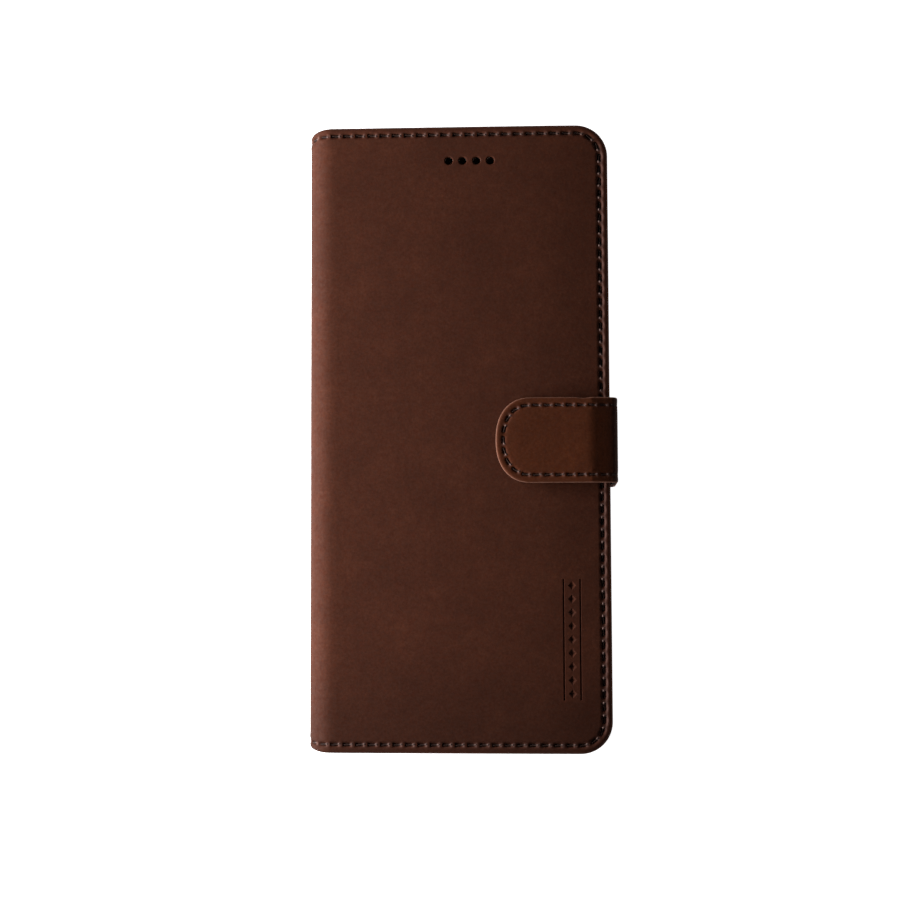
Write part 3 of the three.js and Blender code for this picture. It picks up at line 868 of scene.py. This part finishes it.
def mark_cutters():
    """A plain pressed mark: a row of four-sided hollows between two grooves."""
    x, low, high, count = 28.5 * MM, -70 * MM, -38 * MM, 9
    groove_offset, groove_depth, hollow_depth = 2.2 * MM, 0.2 * MM, 0.36 * MM
    pitch = (high - low) / count
    cutters = []

    def press(rim, floor, depth):
        rings = [[(px, py, front_height(px) + rise) for px, py in ring]
                 for ring, rise in ((floor, -depth), (rim, 0.05 * MM))]
        cutters.append(ring_loft("mark_cut", rings))

    def bar(cx, half_width, half_length):
        cy = (low + high) / 2
        return [(cx + i * half_width, cy + j * half_length) for i, j in ((-1, -1), (1, -1), (1, 1), (-1, 1))]

    def diamond(cy, half_width, half_length):
        return [(x + i * half_width, cy + j * half_length) for i, j in ((-1, 0), (0, -1), (1, 0), (0, 1))]

    for side in (-1, 1):
        cx = x + side * groove_offset
        reach = (high - low) / 2
        press(bar(cx, 0.3 * MM, reach), bar(cx, 0.15 * MM, reach - 0.15 * MM), groove_depth)
    for n in range(count):
        cy = low + pitch * (n + 0.5)
        press(diamond(cy, 1.2 * MM, 1.35 * MM), diamond(cy, 0.3 * MM, 0.35 * MM), hollow_depth)
    return cutters


def camera_cutter(top):
    """The camera's opening, up to the height top."""
    (x, y), across, along, radius = (24.5 * MM, 60 * MM), 9 * MM, 16 * MM, 6 * MM
    return rounded_slab("window", (x - across, y - along, -MM), (x + across, y + along, top), radius, SHARP)


def back_cutters():
    """The camera's opening and the slot for the strap's root, through the back cover."""
    low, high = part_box("strap_root")
    gap = 0.3 * MM
    notch = rounded_slab("notch", (low.x - gap, low.y - gap, low.z - 0.05 * MM),
                         (EDGE + 2 * MM, high.y + gap, high.z + gap), SHARP, SHARP)
    return [camera_cutter(3 * MM), notch]


def spine_thin(s):
    """How far the lining lies under the outer face: deep under the boards, shallow at the spine."""
    share = np.clip((s - (FLAT - 0.5 * MM)) / (2.5 * MM), 0, 1)
    share = share * share * (3 - 2 * share)
    return 1.75 * MM - 0.85 * MM * share


def lining_place(place):
    """Lays flat lining on a cover, its face down."""
    return lambda s, y, height: place(s, y, -spine_thin(s) - 0.5 * MM - height)


LINING_LINES_S = spaced(CORNER, FLAT, 1.6 * MM) + spaced(FLAT, SPINE_S, 0.8 * MM)[1:]
LINING_LINES_Y = spaced(CORNER - HALF, HALF - CORNER, 1.6 * MM)
lining_outline = Tongue(HALF, CORNER, CORNER, LINING_LINES_S, LINING_LINES_Y, inset=LINING_INSET, fine=2)
LINING_PROFILE = [(CORNER - LINING_INSET, 0)]
LINING_PROFILE += [(d, 0) for d in spaced(CORNER - LINING_INSET, 0.3 * MM, 0.7 * MM)[1:]]
LINING_PROFILE += [(0.12 * MM, -0.05 * MM), (0, -0.2 * MM), (0, -0.42 * MM), (0.1 * MM, -0.5 * MM)]
LINING_PROFILE += [(CORNER - LINING_INSET, -0.5 * MM)]


def lining_relief(s, y, depth, t):
    """The lining is drawn in along the seam too."""
    return -SEAM_SAG * bell(depth + LINING_INSET - SEAM_INSET, SEAM_WIDTH)


def blend_front(obj):
    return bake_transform(obj)


def blend_back(obj):
    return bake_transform(obj)


def build_covers():
    """The outer leather of both covers, each reaching half way round the spine, and their linings."""
    # The fifth value of each skin is how strong the painted highlight along the free edge is.
    skins = [("front", on_front, cover_relief, blend_front, 0.42, ear_hole_cutters() + mark_cutters(),
              ("front_leather", "spine_leather")),
             ("back", on_back, back_relief, blend_back, 0.0, back_cutters(), ("back_leather",))]
    for side, place, relief, blend, free_edge_highlight, cutters, nodes in skins:
        skin = tongue_body(f"{side}_skin", cover_outline, COVER_PROFILE, place, relief, cover_seam,
                           rub_width=0.3 * MM, shadow=cover_painted_shade, free_edge_highlight=free_edge_highlight)
        carve(skin, cutters, 30)
        finish_piece(skin, cover_leather, "outer_leather", blend, *nodes)
    linings = [("front", on_front, blend_front, ear_hole_cutters(), ("front_lining", "spine_lining")),
               ("back", on_back, blend_back, back_cutters(), ("back_lining",))]
    for side, place, blend, cutters, nodes in linings:
        lining = tongue_body(f"{side}_lining_leather", lining_outline, LINING_PROFILE, lining_place(place),
                             lining_relief)
        carve(lining, cutters, 30)
        finish_piece(lining, lining_leather, "lining", blend, *nodes)


def build_cover_seams():
    """The stitches round both covers: those that show outside, and those on the linings."""
    outer = [("front", on_front, blend_front, 0.46 * MM, ("front_seam_thread", "spine_thread_top")),
             ("back", on_back, blend_back, 0.2 * MM, ("back_seam_thread", "spine_thread_bottom"))]
    for side, place, blend, rise, nodes in outer:
        row = seam_row(f"{side}_stitches", cover_seam, place, middle=-0.46 * MM, rise=rise)
        finish_piece(row, thread_brown, "thread", blend, *nodes)
    inner = [("front", on_front, blend_front, 0.02 * MM), ("back", on_back, blend_back, -0.14 * MM)]
    for side, place, blend, middle in inner:
        row = seam_row(f"{side}_inner_stitches", cover_seam, lining_place(place), middle=middle, rise=0.0,
                       seed=8)
        finish_piece(row, thread_brown, "thread", blend)


# ---- strap ----
FLAP_END = 9.5 * MM
FLAP_POWER = 2.3
FLAP_RIM = 1.0 * MM
UNDER_INSET = 0.25 * MM
strap_lines = (spaced(FLAP_END, FLAP_RUN - 1.3 * MM, 1.5 * MM) + [FLAP_RUN, FLAP_RUN + 1.3 * MM]
               + spaced(FLAP_RUN + 2.2 * MM, FLAP_RUN + SLOPE_RUN, 1.5 * MM)
               + spaced(FLAP_RUN + SLOPE_RUN, SIDE_START, STRAP_BEND * QUARTER / 6)[1:]
               + spaced(SIDE_START, STRAP_LENGTH, 1.5 * MM)[1:])
strap_size = (STRAP_HALF, FLAP_END, STRAP_HALF, strap_lines, [0.0], FLAP_POWER, 12)
strap_outline = Tongue(*strap_size)
strap_under = Tongue(*strap_size, inset=UNDER_INSET, fine=2)
strap_seam = Seam(strap_outline, STRAP_SEAM, STRAP_PITCH, mirrored=True)
STRAP_PIT = 0.44 * MM


def strap_relief(s, y, depth, t):
    """The strap's outer face: the same seam, and a flap that is a little domed."""
    sag = 0.12 * MM * bell(depth - STRAP_SEAM, SEAM_WIDTH)
    pit = STRAP_PIT * strap_seam.pit(t, depth, 0.46 * MM) if depth < 3.4 * MM else 0
    crown = 0.12 * MM * clamped((depth - 2.5 * MM) / (4 * MM))
    flat = clamped((FLAP_RUN + MM - s) / (4 * MM))
    return crown * flat - sag - pit * (0.55 + 0.45 * flat)


def bend_painted_shade(s, y):
    """Painted shade: how much darker the strap is painted where it turns over its bend."""
    start = FLAP_RUN + SLOPE_RUN * 0.6
    gathered = smooth((s - start) / (3 * MM)) * smooth((SIDE_START + 5 * MM - s) / (4 * MM))
    return SHADE_START + 0.42 * gathered


def blend_upper(obj):
    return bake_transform(obj)


def blend_lower(obj):
    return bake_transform(obj)


LOWER_ARC = STRAP_BEND * QUARTER
LOWER_SIDE = SIDE_MIDDLE - LOWER_BEND.z
TUCK = 2.2 * MM


def on_lower_strap(s, y, height):
    """From the middle of the side, down round the lower bend and in under the cover's edge."""
    s, y, height = (np.asarray(v, float) for v in (s, y, height))
    angle = np.clip((s - LOWER_SIDE) / STRAP_BEND, 0, QUARTER)
    run = np.clip(s - LOWER_SIDE - LOWER_ARC, 0, None)
    x = LOWER_BEND.x + (STRAP_BEND + height) * np.cos(angle) - run
    z = LOWER_BEND.z - (STRAP_BEND + height) * np.sin(angle) + LOWER_SIDE - np.clip(s, 0, LOWER_SIDE)
    return np.stack([x, y + STRAP_MIDDLE, z], -1)


def band_body(name, section, lines, place, relief=None):
    """A closed band: a section of (y, height) swept along the lines of s."""
    around = running_length(section)
    flat = np.array([(s, y, height + (relief(y, height) if relief else 0))
                     for s in lines for y, height in section])
    uvs = [(s, length) for s in lines for length in around]
    faces = tube_faces(len(lines), len(section))
    wear = [bell(STRAP_HALF - abs(y), 0.5 * MM) for _, y, _ in flat]
    return make_object(name, place(flat[:, 0], flat[:, 1], flat[:, 2]), faces, uvs, {"wear": wear})


def strap_section(half, top, bottom, rim):
    """A flat band's section with rounded edges, from one edge over the outer face and back."""
    edge = [(half - rim + rim * math.cos(a), top - rim + rim * math.sin(a)) for a in quarter_turns(4)]
    face = [(y, top) for y in spaced(half - rim, rim - half, 0.7 * MM)[1:-1]]
    foot = half - 0.05 * MM
    return edge + face + [(-y, z) for y, z in reversed(edge)] + [(-foot, bottom), (foot, bottom)]


def side_relief(y, height):
    """The side of the strap between its two seams: pulled in at the stitches."""
    if height < -0.2 * MM:
        return 0
    return -0.12 * MM * bell(STRAP_HALF - abs(y) - STRAP_SEAM, 0.6 * MM)


def build_strap():
    """The strap's outer leather and lining, each in an upper and a lower part."""
    profile = rim_profile(STRAP_HALF, 1.55 * MM, FLAP_RIM, 0.7 * MM, 0.62 * MM)
    upper = tongue_body("strap_flap_skin", strap_outline, profile, on_strap, strap_relief, strap_seam, 45,
                        rub_width=0.17 * MM, shadow=bend_painted_shade)
    finish_piece(upper, strap_leather, "strap_leather", blend_upper, "strap_flap_leather",
                 "strap_side_leather")

    under_reach = STRAP_HALF - UNDER_INSET
    under_profile = [(under_reach, -1.6 * MM), (0.3 * MM, -1.6 * MM), (0.05 * MM, -1.68 * MM),
                     (0, -1.85 * MM), (0.05 * MM, -2.08 * MM)]
    under_profile += [(depth, -FLAP_THICK) for depth in (0.3 * MM, 0.8 * MM, 3 * MM, 6 * MM, under_reach)]
    under = tongue_body("strap_flap_under", strap_under, under_profile, on_strap, crease=50)
    finish_piece(under, lining_leather, "lining", blend_upper, "strap_flap_lining", "strap_side_lining")

    lines = (spaced(0, LOWER_SIDE, 0.75 * MM) + spaced(LOWER_SIDE, LOWER_SIDE + LOWER_ARC, LOWER_ARC / 12)[1:]
             + [LOWER_SIDE + LOWER_ARC + TUCK])
    lower = band_body("strap_side_skin", strap_section(STRAP_HALF, 0, -0.9 * MM, 0.45 * MM), lines,
                      on_lower_strap, side_relief)
    finish_piece(lower, strap_leather, "strap_leather", blend_lower)
    under_section = strap_section(under_reach, -0.92 * MM, -1.3 * MM, 0.1 * MM)
    under_lower = band_body("strap_side_under", under_section, lines[:-1], on_lower_strap)
    finish_piece(under_lower, lining_leather, "lining", blend_lower)


def build_strap_seams():
    """The row round the flap, and two short rows down the side and round the lower bend."""
    flap = seam_row("strap_flap_stitches", strap_seam, on_strap, thread=0.19 * MM, middle=-0.38 * MM,
                    rise=0.38 * MM, seed=5)
    finish_piece(flap, thread_brown, "thread", blend_upper, "strap_flap_thread")
    run = LOWER_SIDE + LOWER_ARC
    for sign, word in ((1, "top"), (-1, "bottom")):
        line = np.array([(s, sign * (STRAP_HALF - STRAP_SEAM)) for s in spaced(0, run, MM)])
        count = round(run / STRAP_PITCH)
        side = stitch_row(f"strap_side_stitches_{word}", line, line[:, 0], 0, run / count, count,
                          on_lower_strap, thread=0.2 * MM, middle=-0.14 * MM, rise=0.1 * MM, seed=6)
        finish_piece(side, thread_brown, "thread", blend_lower, f"strap_side_thread_{word}")


# ---- phone tray, keys and pockets ----
def tray_shell():
    """The open tray: rounded foot and shoulder, a beaded lip over the phone, a rounded floor edge."""
    low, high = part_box("phone_tray")
    wall, floor, radius, lip, lip_height = 1.2 * MM, 1.1 * MM, 9.0 * MM, 0.8 * MM, 0.4 * MM
    foot, shoulder, bead, inner_foot, middle = 1.4 * MM, 0.55 * MM, 0.2 * MM, 1.0 * MM, 6 * MM
    path = [(middle, low.z)]
    path += [(foot * (1 - math.sin(a)), low.z + foot * (1 - math.cos(a))) for a in quarter_turns(5)]
    path += [(shoulder * (1 - math.cos(a)), high.z - shoulder + shoulder * math.sin(a))
             for a in quarter_turns(5)]
    inner = wall + lip - bead
    path += [(inner + bead * math.sin(2 * a), high.z - bead + bead * math.cos(2 * a))
             for a in quarter_turns(4)]
    path += [(wall, high.z - lip_height - 0.25 * MM), (wall, low.z + floor + inner_foot)]
    path += [(wall + inner_foot * (1 - math.cos(a)), low.z + floor + inner_foot * (1 - math.sin(a)))
             for a in quarter_turns(4)[1:]]
    path.append((middle, low.z + floor))
    return inset_loft("phone_tray_shell", low, high, radius, path, 12, 42)


def build_tray():
    """The tray with its camera opening, charging port, vents and key slots, and the two keys."""
    tray = tray_shell()
    low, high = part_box("phone_tray")
    port_z, port, vent, first_vent, vent_pitch = 7.7 * MM, (12 * MM, 5 * MM), 1.5 * MM, 10 * MM, 3 * MM
    cutters = [camera_cutter(5 * MM)]

    def end_slot(x, width, height, radius):
        slab = rounded_slab("port", (-width / 2, -height / 2, 0), (width / 2, height / 2, 4 * MM),
                            radius, SHARP)
        slab.data.transform(Matrix(((1, 0, 0, x), (0, 0, 1, low.y - MM), (0, 1, 0, port_z), (0, 0, 0, 1))))
        turn_outward(slab)
        return slab

    cutters.append(end_slot(PHONE_X, *port, 2.45 * MM))
    for side in (-1, 1):
        for n in range(4):
            cutters.append(end_slot(PHONE_X + side * (first_vent + vent_pitch * n), vent, vent, 0.74 * MM))
    keys = {node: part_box(node) for node in ("volume_key", "power_key")}
    for box in keys.values():
        cutters.append(key_slab("key_slot", box, 0.3 * MM, 1.9 * MM, high.x - 3 * MM, high.x + MM, SHARP))
    carve(tray, cutters, 35)
    finish_piece(tray, tray_rubber, "tray_rubber", "back_cover", "phone_tray")
    for node, box in keys.items():
        key = key_slab(f"{node}_cap", box, 0, 1.79 * MM, box[0].x, box[1].x, 0.45 * MM)
        finish_piece(key, key_rubber, "tray_rubber", node, node)


POCKET_PITCH = 2.6 * MM


def build_pockets():
    """Flat pocket panels, each with a turned mouth and stitches along it, its sides and its foot."""
    names = ("cash_pocket", "card_pocket_top", "card_pocket_middle", "card_pocket_bottom")
    for name in names:
        low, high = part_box(name)
        panel = rounded_slab(f"{name}_panel", low, high, 2.2 * MM, 0.17 * MM, steps=6)
        bead_low = (low.x + 0.4 * MM, high.y - 2.3 * MM, low.z - 0.12 * MM)
        bead_high = (high.x - 0.4 * MM, high.y + 0.02 * MM, low.z + 0.2 * MM)
        bead = rounded_slab(f"{name}_mouth", bead_low, bead_high, 1.0 * MM, 0.14 * MM, steps=6)
        finish_piece(panel, pocket_leather, "lining", "front_cover", name)
        finish_piece(bead, pocket_leather, "lining", "front_cover")
        y = high.y - 2.9 * MM
        run = np.array([(x, y) for x in spaced(low.x + 1.2 * MM, high.x - 1.2 * MM, MM)])
        add_flat_stitches(f"{name}_mouth_stitches", run, low.z)
    low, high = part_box("card_pocket_bottom")
    edge = 1.5 * MM
    left, right, foot, head = low.x + edge, high.x - edge, low.y + edge, high.y - 4 * MM
    corners = np.array([(left, head), (left, foot), (right, foot), (right, head)])
    run = [a + (b - a) * t for a, b in zip(corners, corners[1:]) for t in spaced(0, 1, 0.02)[:-1]]
    add_flat_stitches("pocket_frame_stitches", np.array(run + [corners[-1]]), low.z)


def add_flat_stitches(name, run, z):
    """Stitches along a level line under the front cover."""
    length = running_length(run)
    count = round(length[-1] / POCKET_PITCH)
    row = stitch_row(name, run, length, 0, length[-1] / count, count,
                     lambda s, y, h: np.stack([s, y, z - h], -1), thread=0.17 * MM, middle=0.04 * MM,
                     rise=0.0, seed=9)
    finish_piece(row, thread_brown, "thread", "front_cover")


def dress_hidden_nodes():
    """The CAD pieces that stay: boards, plate, magnet, film, stiffener and the strap's root."""
    looks = {"back_board": board_grey, "front_board": board_grey, "clasp_plate": magnet_metal,
             "strap_magnet": magnet_metal, "tray_adhesive": adhesive_film, "strap_flap_stiffener": board_grey,
             "strap_root": root_leather}
    for node, material in looks.items():
        paint(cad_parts[node].data, material)


# ---- stage, light and camera ----
def build_stage():
    """A pale sweep: a flat floor that curves up into a low wall all round. It glows as painted light, fully
    on the floor and fading to a quarter up the wall.
    """
    flat, bend, sides = 1.1, 0.4, 72
    radii = [(0.4, 0.0), (flat, 0.0)]
    radii += [(flat + bend * math.sin(a), bend * (1 - math.cos(a))) for a in quarter_turns(10)[1:]]
    radii.append((flat + bend, bend + 0.1))
    points = [(0, 0, 0)]
    faces = []
    for radius, z in radii:
        points += circle(radius, sides, z)
    for k in range(sides):
        n = (k + 1) % sides
        faces.append([0, 1 + k, 1 + n])
        for ring in range(len(radii) - 1):
            a = 1 + ring * sides
            faces.append([a + k, a + sides + k, a + sides + n, a + n])
    mesh = bpy.data.meshes.new("sweep")
    mesh.from_pydata(points, [], faces)
    mesh.polygons.foreach_set("use_smooth", [True] * len(mesh.polygons))
    floor = add_object("sweep", mesh)
    shader = Shader("glowing_pale_sweep")
    patch = shader.noise(shader.place("Object"), 14, 4)
    tone = shader.ramp(patch, [(0.3, (0.86, 0.86, 0.86)), (0.7, (0.9, 0.9, 0.9))])
    shader.finish(tone, 0.9, Specular_IOR_Level=0.1, Emission_Color=(1, 1, 1, 1))
    height = shader.add("ShaderNodeSeparateXYZ")
    shader.link(shader.place("Object"), height.inputs[0])
    # Painted light: the sweep glows, fully on the floor and a quarter as much up the wall.
    glow = shader.span(height.outputs["Z"], 0.005, 0.12, 1.0, 0.25)
    shader.link(glow, shader.surface.inputs["Emission Strength"])
    mesh.materials.append(shader.material)


def area_light(name, place, target, width, height, power):
    """A rectangular light that faces its target and stays out of sight."""
    light = bpy.data.lights.new(name, "AREA")
    light.shape = "RECTANGLE"
    light.size = width
    light.size_y = height
    light.energy = power
    obj = add_object(name, light)
    obj.location = place
    obj.rotation_euler = (Vector(target) - Vector(place)).to_track_quat("-Z", "Y").to_euler()
    obj.visible_camera = False


def build_light():
    """A long low softbox beside the spine, and a faint even fill."""
    area_light("softbox", (-0.20, 0.0, 0.085), (0.0, 0.0, 0.012), 0.35, 0.08, power=1.8)
    world = bpy.data.worlds.new("studio")
    world.use_nodes = True
    background = world.node_tree.nodes["Background"]
    background.inputs["Color"].default_value = (1, 1, 1, 1)
    background.inputs["Strength"].default_value = 0.03
    bpy.context.scene.world = world


def build_camera():
    """Nearly straight above, a few degrees towards the foot of the case."""
    distance = 0.6
    target = Vector((-3.66 * MM, -3.14 * MM, 10 * MM))
    lean_right, lean_down, roll = math.radians(1.09), math.radians(5.26), math.radians(-0.21)
    back = Vector((math.tan(lean_right), -math.tan(lean_down), 1)).normalized()
    right = Vector((0, 1, 0)).cross(back).normalized()
    rotation = Matrix((right, back.cross(right), back)).transposed() @ Matrix.Rotation(roll, 3, "Z")
    data = bpy.data.cameras.new("camera")
    data.lens = 89.44
    data.sensor_width = 36
    data.clip_start = 0.01
    camera = add_object("camera", data)
    camera.matrix_world = Matrix.Translation(target + back * distance) @ rotation.to_4x4()
    bpy.context.scene.camera = camera
    bpy.context.scene.view_settings.view_transform = "Standard"


build_camera()
build_covers()
build_cover_seams()
build_strap()
build_strap_seams()
build_tray()
build_pockets()
dress_hidden_nodes()
build_stage()
build_light()
